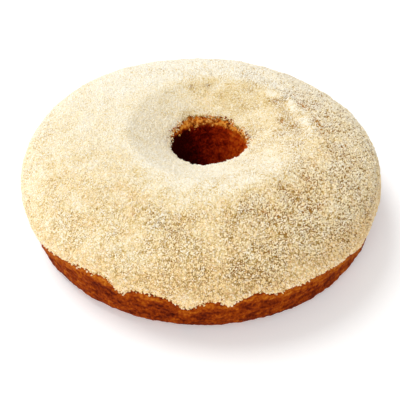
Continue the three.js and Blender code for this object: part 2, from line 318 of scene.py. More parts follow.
# How dark the side is, from 0 where it is amber to 1 where it is nearly black: more low down, which is
# painted shade, more in the line under the powder and at the front, less on the ledges between the splits
SIDE_BROWNING, LOW_PAINTED_SHADE, LINE_BROWNING, FRONT_BROWNING = 0.24, 0.25, 0.2, 0.12
LEDGE_PALENESS = 0.16
LOW_SIDE, POWDER_LINE = (1, 11), (0.5, 2.5)
FRONT = math.radians(-95)
low_side = smoothstep(coat_start - arcs, *LOW_SIDE)
powder_line = 1 - smoothstep(coat_start - arcs, *POWDER_LINE)
# Painted shade: the side turns darker low down, towards the base
side_browning_and_shade = SIDE_BROWNING + LOW_PAINTED_SHADE * low_side + LINE_BROWNING * powder_line
side_browning_and_shade = side_browning_and_shade - LEDGE_PALENESS * splits + FRONT_BROWNING * np.cos(azimuths - FRONT)

# How deeply the hole is browned, and the shade painted into it: its lip is amber with dark flecks, and its
# wall is painted dark for the shade deep in the hole, darkest on the left, which faces away from the lamp.
# The wall's dark colour is a painted shadow, which starts high up in front and lowest at the back on the
# right
WALL_EDGES, WALL_BLOTCHES, LIP_FLECKS = (3.0, 53.0), (4.0, 57.0), (1.6, 59.0)
WALL_EDGE_SWAY, FRONT_WALL_RISE, RIGHT_WALL_DROP = 1.2, 3.0, 1.6
WALL_SHADE_AND_BROWNING, LEFT_WALL_SHADE, BLOTCH_BROWNING = 0.72, 0.46, 0.12
FLECK_BROWNING, TOP_BROWNING, TOP_WIDTH = 0.8, 0.35, 3.0
LIP_TO_WALL, COLOUR_TO_WALL = (-3.5, 0.5), (-2.5, 0.5)
LIP_TURN, LIP_BACK = math.radians(4), (-0.3, 0.5)
to_right = np.cos(azimuths)
at_back = smoothstep(np.sin(azimuths + LIP_TURN), *LIP_BACK)
# The depth at which the painted shadow on the hole's wall begins, with a ragged edge
into_wall = arcs - ends_at["mouth"] + WALL_EDGE_SWAY * noise_at(smooth_crust, *WALL_EDGES)
into_wall = into_wall + (FRONT_WALL_RISE - to_right) * (1 - at_back)
into_wall = into_wall - RIGHT_WALL_DROP * at_back * np.clip(to_right, 0, 1)
# Painted shade: the wall is darker for the shadow deep in the hole, most on the left, which faces away from
# the lamp
wall_browning_and_shade = WALL_SHADE_AND_BROWNING - LEFT_WALL_SHADE * to_right
wall_browning_and_shade = wall_browning_and_shade + BLOTCH_BROWNING * (1 + to_right) * noise_at(smooth_crust, *WALL_BLOTCHES)
lip_top = 1 - smoothstep(arcs - coat_end, 0, TOP_WIDTH)
lip_browning = FLECK_BROWNING * noise_at(smooth_crust, *LIP_FLECKS) + TOP_BROWNING * lip_top
hole_browning_and_shade = blend(lip_browning, wall_browning_and_shade, smoothstep(into_wall, *LIP_TO_WALL))
# The share that the crust's colour reads: browning, with painted shade low on the side and on the hole's wall
browned = np.where(arcs > ends_at["shoulder"], hole_browning_and_shade, side_browning_and_shade)


def give_fields(mesh, **fields):
    """Stores named values at a mesh's points, for its material or a scatter to read."""
    for field, values in fields.items():
        mesh.attributes.new(field, "FLOAT", "POINT").data.foreach_set("value", values.ravel())


def new_object(name, data):
    """Puts a mesh, a lamp or a camera into the scene."""
    made = bpy.data.objects.new(name, data)
    bpy.context.scene.collection.objects.link(made)
    return made


give_fields(crust_mesh, browned=browned, walled=smoothstep(into_wall, *COLOUR_TO_WALL))
crust = new_object("cake_crust", crust_mesh)


def linear(hex_colour):
    """Linear colour of an sRGB hex value."""
    values = [int(hex_colour[start:start + 2], 16) / 255 for start in (1, 3, 5)]
    lights = [v / 12.92 if v <= 0.04045 else ((v + 0.055) / 1.055) ** 2.4 for v in values]
    return (*lights, 1.0)


def new_material(name):
    """An empty material to add nodes to."""
    material = bpy.data.materials.new(name)
    material.use_nodes = True
    material.node_tree.nodes.clear()
    return material


def add_node(tree, kind, links=None, shades=(), **settings):
    """Adds a node, sets it up with any shades of its ramp, and links or sets its inputs."""
    added = tree.nodes.new(kind)
    for setting, value in settings.items():
        setattr(added, setting, value)
    for stop, (at, colour) in enumerate(shades):
        ramp = added.color_ramp.elements
        element = ramp[stop] if stop < len(ramp) else ramp.new(at)
        element.position = at
        element.color = linear(colour)
    for socket, source in (links or {}).items():
        if isinstance(source, bpy.types.NodeSocket):
            tree.links.new(source, added.inputs[socket])
        else:
            added.inputs[socket].default_value = source
    return added


# Browned crust: sugar and butter browned in the oven. Its colour runs in soft blotches from amber to dark
# brown, redder and darker on the hole's wall as painted shade, and its crumbly surface is matt. The darker
# colour low on the side is painted shade too.
CRUST_SHADES = [(0.0, "#D88E38"), (0.25, "#BA6212"), (0.5, "#923806"), (0.75, "#5E1A06"), (1.0, "#2C0602")]
# The hole's wall takes darker, redder shades, which paint the shade deep in the hole
SHADED_WALL_SHADES = [(0.0, "#DC7A26"), (0.25, "#C4500E"), (0.5, "#A02C06"), (0.75, "#640E02"), (1.0, "#340200")]
BLOTCH_MM, CRUMB_MM, CRUMB_DEPTH_MM = 8.0, 1.8, 0.4
CRUMB_WEIGHT = 1.3
MOTTLE_BROWNING = 0.32
browned_crust = new_material("browned_crust")
tree = browned_crust.node_tree
place = add_node(tree, "ShaderNodeTexCoord").outputs["Object"]
blotches = add_node(
    tree, "ShaderNodeTexNoise",
    {"Vector": place, "Scale": 1 / (BLOTCH_MM * MM), "Detail": 4.0, "Roughness": 0.6},
)
crumb = add_node(
    tree, "ShaderNodeTexNoise",
    {"Vector": place, "Scale": 1 / (CRUMB_MM * MM), "Detail": 3.0, "Roughness": 0.65},
)
mottle = add_node(
    tree, "ShaderNodeMath",
    {0: crumb.outputs["Fac"], 1: CRUMB_WEIGHT, 2: blotches.outputs["Fac"]}, operation="MULTIPLY_ADD",
)
uneven = add_node(
    tree, "ShaderNodeMapRange",
    {
        "Value": mottle.outputs[0], "From Min": 0.75, "From Max": 1.55,
        "To Min": -MOTTLE_BROWNING, "To Max": MOTTLE_BROWNING,
    },
)
browned_and_shaded_share = add_node(tree, "ShaderNodeAttribute", attribute_name="browned").outputs["Fac"]
browning_and_shade = add_node(
    tree, "ShaderNodeMath", {0: browned_and_shaded_share, 1: uneven.outputs["Result"]}, operation="ADD"
)
# How far each point lies in the painted shadow on the hole's wall
walled = add_node(tree, "ShaderNodeAttribute", attribute_name="walled").outputs["Fac"]
side_shade = add_node(tree, "ShaderNodeValToRGB", {"Fac": browning_and_shade.outputs[0]}, CRUST_SHADES)
shaded_wall_colour = add_node(tree, "ShaderNodeValToRGB", {"Fac": browning_and_shade.outputs[0]}, SHADED_WALL_SHADES)
crust_shade = add_node(
    tree, "ShaderNodeMix",
    {0: walled, 6: side_shade.outputs["Color"], 7: shaded_wall_colour.outputs["Color"]}, data_type="RGBA",
)
crumb_bump = add_node(
    tree, "ShaderNodeBump",
    {"Strength": 0.35, "Distance": CRUMB_DEPTH_MM * MM, "Height": crumb.outputs["Fac"]},
)
crumb_roughness = add_node(
    tree, "ShaderNodeMapRange", {"Value": crumb.outputs["Fac"], "To Min": 0.6, "To Max": 0.85}
)
crust_surface = add_node(
    tree, "ShaderNodeBsdfPrincipled",
    {
        "Base Color": crust_shade.outputs[2], "Roughness": crumb_roughness.outputs["Result"],
        "IOR": 1.45, "Specular IOR Level": 0.02, "Normal": crumb_bump.outputs["Normal"],
    },
)
add_node(tree, "ShaderNodeOutputMaterial", {"Surface": crust_surface.outputs["BSDF"]})
crust_mesh.materials.append(browned_crust)
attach(crust, "root")
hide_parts("cake_ring")


# Coat of milk powder
# Milk powder pressed on all over the top, the funnel and the upper sides, where it sticks in a thin
# lumpy layer. It is heaped on the right of the crest and thins out to two ragged edges.

COAT_THICKNESS = 1.2
COAT_RIM_THICKNESS, COAT_RIM_WIDTH = 0.05, 7.0
COAT_COLUMNS = 720
COAT_ROWS = 118
INNER_ROWS = 6

# How its edges sway: how far, the size of a sway in millimetres, and a seed
LOW_EDGE_RADIUS = 120.0
LOW_EDGE_SWAYS = [(1.1, 6.0, 5.0), (0.88, 2.6, 9.0)]
HIGH_EDGE_SWAYS = [(1.43, 4.0, 21.0), (0.99, 1.8, 27.0)]

coat_azimuths = np.arange(COAT_COLUMNS) / COAT_COLUMNS * 2 * math.pi


def sway(radius, sways):
    """How far a ragged edge of the coat sways, round a circle of a radius."""
    circle = [radius * np.cos(coat_azimuths), radius * np.sin(coat_azimuths), 0 * coat_azimuths]
    return sum(reach * noise_at(np.stack(circle, -1), size, seed) for reach, size, seed in sways)


edge_low, edge_high = coat_edge_arcs(coat_azimuths)
edge_low = edge_low + sway(LOW_EDGE_RADIUS, LOW_EDGE_SWAYS)
edge_high = edge_high + sway(FUNNEL_FOOT_RADIUS, HIGH_EDGE_SWAYS)


def coat_grid(shares, overhang):
    """Distances along the section and azimuths of rows over the coat, from its lower to its inner edge."""
    start, end = edge_low - overhang, edge_high + overhang
    arc = start + shares[:, None] * (end - start)
    return arc, np.broadcast_to(coat_azimuths, arc.shape)


def edge_distance(arc):
    """How far inside the coat's nearer edge something lies."""
    return np.minimum(arc - edge_low, edge_high - arc)


# The ridge of powder on the right of the crest: its middle and spread round the ring, its line past the
# crest, its width and height, and the waves of its line
RIDGE_AZIMUTH, RIDGE_SPREAD, RIDGE_SQUARENESS = 17.0, 31.0, 4
RIDGE_OFFSET, RIDGE_WIDTH, RIDGE_RISE = 4.5, 2.8, 3.2
RIDGE_WAVES = [(7, 1.2, 0), (17, 0.8, 1)]


def ridge_share(arc, azimuth, offset, width):
    """A band beside the ridge or on it, 1 on the band's line and 0 away from it."""
    along = bell(turn_from(azimuth, RIDGE_AZIMUTH), RIDGE_SPREAD, RIDGE_SQUARENESS)
    line = ends_at["shoulder"] + offset
    line = line + sum(reach * np.sin(count * azimuth + start) for count, reach, start in RIDGE_WAVES)
    return along * bell(arc - line, width)


# Where the paler powder of the funnel starts: azimuth, distance past the crest and how gradually
PALE_START = np.array([
    (-150, -4, 8), (-120, -9, 11), (-90, -16, 14), (-60, -8, 14), (-30, 0, 9), (10, 2, 4), (45, 1, 5),
    (75, -1, 7), (130, -2, 7), (180, -5, 8),
])
PALE_EDGES, PALE_EDGE_SWAY = (9.0, 79.0), 3


def past_crest_share(arc, azimuth):
    """0 on the outside of the crest and 1 inside it, with a sharper change along the ridge."""
    middle, spread = (
        np.interp(np.degrees(azimuth), PALE_START[:, 0], PALE_START[:, column], period=360)
        for column in (1, 2)
    )
    ragged = PALE_EDGE_SWAY * noise_at(ring_points(arc, azimuth, 0.0), *PALE_EDGES)
    return smoothstep(arc - ends_at["shoulder"] + ragged, middle - spread, middle + spread)


# Relief of the coat: slow lumps, clods, fine clods, knobs on the ridge and pits, each with its size and a
# seed. It is rougher where the powder lies thin, smoother in the funnel, and worn down on the crest
LUMPS, CLODS, FINE_CLODS = (9.0, 61.0), (3.5, 67.0), (1.8, 71.0)
KNOBS, PITS = (4.5, 73.0), (2.4, 107.0)
LUMP_RISE, CLOD_RISE, FINE_CLOD_RISE = 0.65, 0.28, 0.2
KNOB_LEVEL, KNOB_CONTRAST, HIGHEST_KNOB = 0.45, 1.5, 1.3
PIT_DEPTH, PIT_FROM, PIT_TO = 0.7, 0.1, 0.5
THIN_SHADED_SIDE = math.radians(-20)
ROUGHNESS, ROUGHNESS_SWING = 0.7, 0.3
FUNNEL_LUMP_LOSS, FUNNEL_PIT_LOSS = 0.5, 0.6
CREST_WEAR, CREST_WEAR_WIDTH = 0.5, 8.0
RELIEF_FADE = (-1, 3)


def powder_pits(arc, azimuth):
    """Small pits between the clumps of powder, 1 at the bottom of a pit and 0 on the clumps."""
    pits = smoothstep(noise_at(ring_points(arc, azimuth, 0.0), *PITS), PIT_FROM, PIT_TO)
    return pits * (1 - FUNNEL_PIT_LOSS * past_crest_share(arc, azimuth))


def powder_top(arc, azimuth):
    """Height of the pressed powder over the ring."""
    flat = ring_points(arc, azimuth, 0.0)
    to_edge = edge_distance(arc)
    body = blend(COAT_RIM_THICKNESS, COAT_THICKNESS, smoothstep(to_edge, 0, COAT_RIM_WIDTH))
    body = body - CREST_WEAR * bell(arc - ends_at["crest"], CREST_WEAR_WIDTH)
    rough = ROUGHNESS + ROUGHNESS_SWING * np.cos(azimuth - THIN_SHADED_SIDE)
    lumps = LUMP_RISE * noise_at(flat, *LUMPS) * (1 - FUNNEL_LUMP_LOSS * past_crest_share(arc, azimuth))
    clods = CLOD_RISE * noise_at(flat, *CLODS) + FINE_CLOD_RISE * noise_at(flat, *FINE_CLODS)
    relief = lumps + rough * clods - rough * PIT_DEPTH * powder_pits(arc, azimuth)
    knobs = np.clip(KNOB_LEVEL + KNOB_CONTRAST * noise_at(flat, *KNOBS), 0, HIGHEST_KNOB)
    ridge = RIDGE_RISE * knobs * ridge_share(arc, azimuth, RIDGE_OFFSET, RIDGE_WIDTH)
    return body + ridge + relief * smoothstep(to_edge, *RELIEF_FADE)


# Bands low on the coat, where light and shade are painted: round the widest part, low on the back and low on
# the left
LOW_FADE = 25.0
LOW_RISE, LOW_BACK_DROP, LOW_LEFT_DROP = 25, 28, 18
BACK_FADE = (0.2, 0.75)
LEFT_AZIMUTH, LEFT_SPREAD = 190, 40


def below(line, arc):
    """0 above a line round the coat's side and 1 well below it."""
    return smoothstep(line - arc, 0, LOW_FADE)


def low_share(arc):
    return below(ends_at["flank"] + LOW_RISE, arc)


def low_back_share(arc, azimuth):
    return smoothstep(np.sin(azimuth), *BACK_FADE) * below(ends_at["shoulder"] - LOW_BACK_DROP, arc)


def low_left_share(arc, azimuth):
    round_left = bell(turn_from(azimuth, LEFT_AZIMUTH), LEFT_SPREAD)
    return round_left * below(ends_at["shoulder"] - LOW_LEFT_DROP, arc)


# How thin the powder lies outside and in the funnel, on average and more on one side. Outside, that side is
# the right front, which faces away from the lamp, so the extra thinness there is partly real and partly
# painted shade
OUTSIDE_THINNESS, OUTSIDE_SWING = 0.37, 0.39
FUNNEL_THINNESS, FUNNEL_SWING, FUNNEL_THIN_SIDE = 0.16, 0.24, math.radians(20)
MOST_THIN = 0.84
# Painted light low round the widest part, and painted shade low on the back and low on the left
LOW_PAINTED_LIGHT, HOLLOW_THINNING, BACK_PAINTED_SHADE, LEFT_PAINTED_SHADE = 0.22, 0.42, 0.35, 0.22
THIN_PATCHES, THIN_SPECKS = (15.0, 83.0), (5.0, 89.0)
PATCH_THINNING, SPECK_THINNING = 0.3, 0.18

# Spots where it is rubbed thin: azimuth, distance past the crest, length round and width
RUBBED_SPOTS = [
    (97, 6.4, 4.0, 2.0), (110, 6.0, 3.0, 1.6), (41, 8.0, 2.6, 1.6), (26, -1.0, 4.5, 1.2),
    (20, -3.0, 3.5, 1.2), (4, -2.5, 4.0, 1.3), (-5, -5.0, 4.0, 1.4), (14, 16.0, 4.5, 1.6),
    (2, 11.0, 3.0, 1.6),
]
SPOT_THINNING = 0.55

# Bands along the ridge: distance past the crest, width and how much thinner; they are partly painted shade on
# the ridge's slopes
RIDGE_FEET = [(-4.0, 5.0, 0.25), (11.0, 6.0, 0.3)]
RIDGE_GAPS, RIDGE_TOP_WIDTH, RIDGE_THICKENING, RIDGE_EVENNESS = (5.0, 73.0), 2.5, 0.6, 0.7
EDGE_THINNING, EDGE_THIN_WIDTH = 0.6, 3


def powder_thinness_and_shade(arc, azimuth):
    """How thin the powder lies, from 0 where it is heaped to 1 where the crust shows through, with painted
    shade and light mixed in.
    """
    flat = ring_points(arc, azimuth, 0.0)
    past_crest = past_crest_share(arc, azimuth)
    # Partly painted shade: thinner and darker towards the right front, away from the lamp
    outside = OUTSIDE_THINNESS + OUTSIDE_SWING * np.cos(azimuth - THIN_SHADED_SIDE)
    inside = FUNNEL_THINNESS + FUNNEL_SWING * np.cos(azimuth - FUNNEL_THIN_SIDE)
    # Painted light: the powder is painted lighter low on the side, most where it faces away from the lamp
    thin = blend(outside, inside, past_crest) - LOW_PAINTED_LIGHT * outside * low_share(arc)
    thin = thin + PATCH_THINNING * noise_at(flat, *THIN_PATCHES)
    thin = thin + SPECK_THINNING * noise_at(flat, *THIN_SPECKS)
    thin = thin - HOLLOW_THINNING * outside * noise_at(flat, *LUMPS) * (1 - past_crest)
    # Painted shade: darker low on the back and low on the left
    thin = thin + BACK_PAINTED_SHADE * low_back_share(arc, azimuth) + LEFT_PAINTED_SHADE * low_left_share(arc, azimuth)
    thin = np.minimum(thin, MOST_THIN)
    for spot_azimuth, offset, length, width in RUBBED_SPOTS:
        around = np.radians(turn_from(azimuth, spot_azimuth)) * CREST_RADIUS
        across = arc - ends_at["shoulder"] - offset
        thin = thin + SPOT_THINNING * bell(around, length) * bell(across, width)
    # Partly painted shade: thinner, darker bands at the ridge's feet
    for offset, width, thinning in RIDGE_FEET:
        thin = thin + thinning * ridge_share(arc, azimuth, offset, width)
    heaped = ridge_share(arc, azimuth, RIDGE_OFFSET, RIDGE_TOP_WIDTH)
    thin = thin - RIDGE_THICKENING * heaped * (RIDGE_EVENNESS + noise_at(flat, *RIDGE_GAPS))
    at_edge = 1 - smoothstep(edge_distance(arc), 0, EDGE_THIN_WIDTH)
    return np.clip(thin + EDGE_THINNING * at_edge, 0, 1)


top_arcs, top_azimuths = coat_grid(np.linspace(0, 1, COAT_ROWS), 0.0)
under_arcs, under_azimuths = coat_grid(np.linspace(1, 0, INNER_ROWS), 0.0)
coat_skins = [
    ring_points(top_arcs, top_azimuths, powder_top(top_arcs, top_azimuths)),
    ring_points(under_arcs, under_azimuths, 0.0),
]
coat_mesh = ring_mesh("milk_powder_layer", np.concatenate(coat_skins), True)
top_thin_and_shade = powder_thinness_and_shade(top_arcs, top_azimuths)
give_fields(coat_mesh, thin=np.concatenate([top_thin_and_shade, np.ones(under_arcs.shape)]))
coat = new_object("milk_powder_layer", coat_mesh)

# Pressed milk powder: dry and matt, creamy white where it lies thick and tan where the crust shows through.
# Its darker shades, which show in the gaps between the grains, are also painted shade for those deep gaps
POWDER_SHADES = [(0.47, "#F7EFDB"), (0.64, "#E0C88E"), (0.8, "#BC9A56"), (0.92, "#98743A"), (1.0, "#B07A34")]
PATCH_MM, SPECK_MM = 9.0, 1.2
SPECK_SHARE, THIN_WEIGHT = 0.7, 0.5
pressed_powder = new_material("pressed_milk_powder")
tree = pressed_powder.node_tree
place = add_node(tree, "ShaderNodeTexCoord").outputs["Object"]
patches = add_node(
    tree, "ShaderNodeTexNoise", {"Vector": place, "Scale": 1 / (PATCH_MM * MM), "Detail": 3.0}
)
specks = add_node(
    tree, "ShaderNodeTexNoise", {"Vector": place, "Scale": 1 / (SPECK_MM * MM), "Detail": 2.0}
)
mottle = add_node(
    tree, "ShaderNodeMix", {0: SPECK_SHARE, 2: patches.outputs["Fac"], 3: specks.outputs["Fac"]},
    data_type="FLOAT",
)
thinness_and_shade = add_node(tree, "ShaderNodeAttribute", attribute_name="thin").outputs["Fac"]
shown = add_node(
    tree, "ShaderNodeMath", {0: thinness_and_shade, 1: THIN_WEIGHT, 2: mottle.outputs[0]}, operation="MULTIPLY_ADD"
)
powder_shade = add_node(tree, "ShaderNodeValToRGB", {"Fac": shown.outputs[0]}, POWDER_SHADES)
powder_surface = add_node(
    tree, "ShaderNodeBsdfPrincipled",
    {
        "Base Color": powder_shade.outputs["Color"], "Roughness": 0.95, "IOR": 1.4,
        "Specular IOR Level": 0.1,
    },
)
add_node(tree, "ShaderNodeOutputMaterial", {"Surface": powder_surface.outputs["BSDF"]})
coat_mesh.materials.append(pressed_powder)
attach(coat, "root")
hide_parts("milk_powder_coat")


# Grains of milk powder
# Dry crumbs of milk powder about a millimetre across that stick to the pressed layer, with clumps of
# about two millimetres. They are sorted into pieces by shade, as each shade is a kind of its own.

# How golden the grains are: outside by how far to the back and to the right they lie, in the funnel by how
# far to the back they lie and round one golden place, and more low down. Partly painted light and shade:
# whiter on the lit back, and more golden, so darker and warmer, on the shaded front, the funnel's back wall
# and low down
OUTSIDE_GOLD, OUTSIDE_BACK_GOLD, OUTSIDE_RIGHT_GOLD = 0.31, -0.36, 0.06
FUNNEL_GOLD, FUNNEL_BACK_GOLD = 0.23, 0.14
GOLDEN_PLACE, GOLDEN_PLACE_SPREAD, GOLDEN_PLACE_GOLD = 95, 25, 0.18
# The gold low down is partly painted shade
LOW_GOLD, LOW_RIGHT_GOLD, BACK_PAINTED_SHADE_GOLD = 0.8, 0.25, 0.5
GOLD_PATCHES, GOLD_SPECKS = (8.0, 97.0), (3.0, 101.0)
PATCH_GOLD, SPECK_GOLD = 0.28, 0.2
LEAST_PATCHY, PATCHY_FROM, PATCHY_TO = 0.35, 0.1, 0.5
RIDGE_GOLD, RIDGE_GOLD_WIDTH = -0.45, 3.0

# Paler and more golden places: azimuth, distance past the crest, size and how much more golden
TINTED_PLACES = [
    (-136, -34, 12, 0.1), (-129, -56, 12, -0.2), (-105, -35, 9, -0.15), (-100, -24, 9, -0.15),
    (-108, -55, 8, -0.15), (-117, -53, 8, -0.12), (-89, -57, 14, 0.14),
]


def powder_golden(arc, azimuth):
    """How golden the grains are: white at the back, cream on the left, golden on the front and low down,
    partly as painted light and shade.
    """
    flat = ring_points(arc, azimuth, 0.0)
    back, right = np.sin(azimuth), np.cos(azimuth)
    outside = OUTSIDE_GOLD + OUTSIDE_BACK_GOLD * back + OUTSIDE_RIGHT_GOLD * right
    golden_place = bell(turn_from(azimuth, GOLDEN_PLACE), GOLDEN_PLACE_SPREAD)
    inside = FUNNEL_GOLD + FUNNEL_BACK_GOLD * back + GOLDEN_PLACE_GOLD * golden_place
    golden = blend(outside, inside, past_crest_share(arc, azimuth))
    golden = golden + outside * (LOW_GOLD + LOW_RIGHT_GOLD * right) * low_share(arc)
    patchy = blend(LEAST_PATCHY, 1, smoothstep(golden, PATCHY_FROM, PATCHY_TO))
    patches = PATCH_GOLD * noise_at(flat, *GOLD_PATCHES) + SPECK_GOLD * noise_at(flat, *GOLD_SPECKS)
    # Painted shade: more golden, so darker, low on the back
    golden = golden + patchy * patches + BACK_PAINTED_SHADE_GOLD * low_back_share(arc, azimuth)
    for place_azimuth, offset, size, change in TINTED_PLACES:
        around = np.radians(turn_from(azimuth, place_azimuth)) * WIDEST_RADIUS
        across = arc - ends_at["shoulder"] - offset
        golden = golden + change * bell(np.hypot(around, across), size)
    return np.clip(golden + RIDGE_GOLD * ridge_share(arc, azimuth, RIDGE_OFFSET, RIDGE_GOLD_WIDTH), 0, 1)


# The skin that the grains stick to is the coat's top, and hangs a little over both of its edges
HIGH_OVERHANG, LOW_OVERHANG = 1.7, 1.5
skin_arcs, skin_azimuths = coat_grid(np.linspace(0, 1, COAT_ROWS), HIGH_OVERHANG)
skin_points = ring_points(skin_arcs, skin_azimuths, powder_top(skin_arcs, skin_azimuths))
skin_mesh = ring_mesh("powder_skin", skin_points, False)
skin_thin_and_shade = powder_thinness_and_shade(skin_arcs, skin_azimuths)

# How closely they lie: less close past the edges, where the powder is thin and in the pits
FULL_COVER = 2.5
THIN_GAPS, BARE_GAPS, BARE_FROM = 0.1, 0.3, 0.88
PIT_GAPS, THICK_PIT_SHARE, THIN_PIT_SHARE = 0.42, 0.2, 0.75
cover = smoothstep(skin_arcs - edge_low, -LOW_OVERHANG, FULL_COVER)
cover = cover * smoothstep(edge_high - skin_arcs, -HIGH_OVERHANG, FULL_COVER)
cover = cover * (1 - THIN_GAPS * skin_thin_and_shade - BARE_GAPS * smoothstep(skin_thin_and_shade, BARE_FROM, 1))
skin_pits = powder_pits(skin_arcs, skin_azimuths)
cover = cover * (1 - PIT_GAPS * skin_pits * (THICK_PIT_SHARE + THIN_PIT_SHARE * skin_thin_and_shade))

# How coarse they are: finer where the powder is thin and in the funnel, coarser at both edges
THICK_COARSENESS, THIN_FINENESS, FUNNEL_FINENESS = 1.18, 0.4, 0.2
RIM_COARSENESS, LOW_COARSENESS = 0.4, 0.25
RIM_FROM, RIM_TO = ends_at["funnel"] - 2, ends_at["funnel"] + 1
COARSE_BAND, COARSE_FADE = 10, 8
on_rim = smoothstep(skin_arcs, RIM_FROM, RIM_TO)
low_edge = smoothstep(edge_low + COARSE_BAND - skin_arcs, 0, COARSE_FADE)
coarse = THICK_COARSENESS - THIN_FINENESS * skin_thin_and_shade
coarse = coarse * (1 - FUNNEL_FINENESS * past_crest_share(skin_arcs, skin_azimuths))
coarse = coarse * (1 + RIM_COARSENESS * on_rim) * (1 + LOW_COARSENESS * low_edge)

# How deep they are pressed in where the powder is thick, and the golden ones that stray onto the bare lip
MOST_SUNK, SUNK_FADE = 0.34, (0.1, 0.8)
BARE_FADE, STRAY_FADE = (0.1, 0.4), (-2.5, 0.5)
sunk = MOST_SUNK * (1 - smoothstep(skin_thin_and_shade, *SUNK_FADE)) * (1 - on_rim)
on_lip = smoothstep(lip_share(skin_azimuths), *BARE_FADE) * smoothstep(skin_arcs - edge_high, *STRAY_FADE)
golden = blend(powder_golden(skin_arcs, skin_azimuths), 1, on_lip)
give_fields(skin_mesh, cover=cover, golden=golden, coarse=coarse, sunk=sunk)

# One tree scatters every kind: it puts spots on a skin, keeps those of its kind, and sets a dented ball on
# each of them
scatter = bpy.data.node_groups.new("scatter_grains", "GeometryNodeTree")
scatter.interface.new_socket("Grains", in_out="OUTPUT", socket_type="NodeSocketGeometry")
GRAIN_INPUTS = {
    "Skin": "NodeSocketGeometry", "Spacing": "NodeSocketFloat", "Kind From": "NodeSocketFloat",
    "Kind To": "NodeSocketFloat", "Smallest": "NodeSocketFloat", "Largest": "NodeSocketFloat",
    "Lift": "NodeSocketFloat", "Sides": "NodeSocketInt", "Rings": "NodeSocketInt", "Seed": "NodeSocketInt",
    "Finish": "NodeSocketMaterial",
}
grain_sockets = {
    name: scatter.interface.new_socket(name, in_out="INPUT", socket_type=kind).identifier
    for name, kind in GRAIN_INPUTS.items()
}
given = add_node(scatter, "NodeGroupInput").outputs

# What the skin says at each spot, and the tint that a grain is given below
skin_fields = {}
for name in ("cover", "golden", "coarse", "sunk", "tint"):
    field = add_node(scatter, "GeometryNodeInputNamedAttribute", {"Name": name}, data_type="FLOAT")
    skin_fields[name] = field.outputs["Attribute"]

# What is drawn at random for each grain: the type of value, its two limits and a seed
GRAIN_SHAPES = 7
DENT = 0.13
DRAWS = {
    "kind": ("FLOAT", 0.0, 1.0, 101),
    "size": ("FLOAT", given["Smallest"], given["Largest"], 103),
    "proportions": ("FLOAT_VECTOR", (0.8, 0.8, 0.7), (1.2, 1.2, 1.1), 105),
    "shape": ("INT", 0, GRAIN_SHAPES - 1, 107),
    "turn": ("FLOAT_VECTOR", (0, 0, 0), (6.28, 6.28, 6.28), 109),
    "tint": ("FLOAT", 0.0, 0.25, 111),
    "along_map": ("FLOAT", 0.03, 0.07, 113),
    "across_map": ("FLOAT", 0.02, 0.98, 115),
}
for shape in range(GRAIN_SHAPES):
    DRAWS[f"dent_{shape}"] = ("FLOAT_VECTOR", (-DENT, -DENT, -DENT), (DENT, DENT, DENT), 200 + shape)

# Which output of the node that draws gives each type of value, and which input takes its first limit
DRAW_SOCKETS = {"FLOAT_VECTOR": (0, 0), "FLOAT": (1, 2), "INT": (2, 4)}
drawn = {}
for name, (data_type, low, high, seed) in DRAWS.items():
    output, first = DRAW_SOCKETS[data_type]
    limits = {first: low, first + 1: high, "Seed": seed}
    draw = add_node(scatter, "FunctionNodeRandomValue", limits, data_type=data_type)
    drawn[name] = draw.outputs[output]

# The most grains that a square metre could hold, which the spacing then thins out
MOST_GRAINS = 6.0e6
spots = add_node(
    scatter, "GeometryNodeDistributePointsOnFaces",
    {
        "Mesh": given["Skin"], "Distance Min": given["Spacing"], "Density Max": MOST_GRAINS,
        "Density Factor": skin_fields["cover"], "Seed": given["Seed"],
    },
    distribute_method="POISSON",
)
before_kind = add_node(
    scatter, "FunctionNodeCompare", {0: drawn["kind"], 1: given["Kind From"]}, operation="LESS_THAN"
)
after_kind = add_node(
    scatter, "FunctionNodeCompare", {0: drawn["kind"], 1: given["Kind To"]}, operation="GREATER_EQUAL"
)
other_kind = add_node(
    scatter, "FunctionNodeBooleanMath", {0: before_kind.outputs[0], 1: after_kind.outputs[0]}, operation="OR"
)
kept = add_node(
    scatter, "GeometryNodeDeleteGeometry",
    {"Geometry": spots.outputs["Points"], "Selection": other_kind.outputs[0]}, domain="POINT",
)
size = add_node(
    scatter, "ShaderNodeMath", {0: drawn["size"], 1: skin_fields["coarse"]}, operation="MULTIPLY"
)
stand = add_node(
    scatter, "ShaderNodeMath", {0: given["Lift"], 1: skin_fields["sunk"]}, operation="SUBTRACT"
)
rise = add_node(scatter, "ShaderNodeMath", {0: size.outputs[0], 1: stand.outputs[0]}, operation="MULTIPLY")
outward = add_node(
    scatter, "ShaderNodeVectorMath", {0: spots.outputs["Normal"], "Scale": rise.outputs[0]}, operation="SCALE"
)
lifted = add_node(
    scatter, "GeometryNodeSetPosition", {"Geometry": kept.outputs[0], "Offset": outward.outputs[0]}
)

# Some shapes of a grain, each a ball one across with its points pushed about
shapes = add_node(scatter, "GeometryNodeJoinGeometry")
for shape in range(GRAIN_SHAPES):
    ball = add_node(
        scatter, "GeometryNodeMeshUVSphere",
        {"Radius": 0.5, "Segments": given["Sides"], "Rings": given["Rings"]},
    )
    crumbled = add_node(
        scatter, "GeometryNodeSetPosition",
        {"Geometry": ball.outputs["Mesh"], "Offset": drawn[f"dent_{shape}"]},
    )
    flat_sided = add_node(
        scatter, "GeometryNodeSetShadeSmooth", {"Geometry": crumbled.outputs[0], "Shade Smooth": False}
    )
    single = add_node(scatter, "GeometryNodeGeometryToInstance", {0: flat_sided.outputs[0]})
    scatter.links.new(single.outputs[0], shapes.inputs[0])

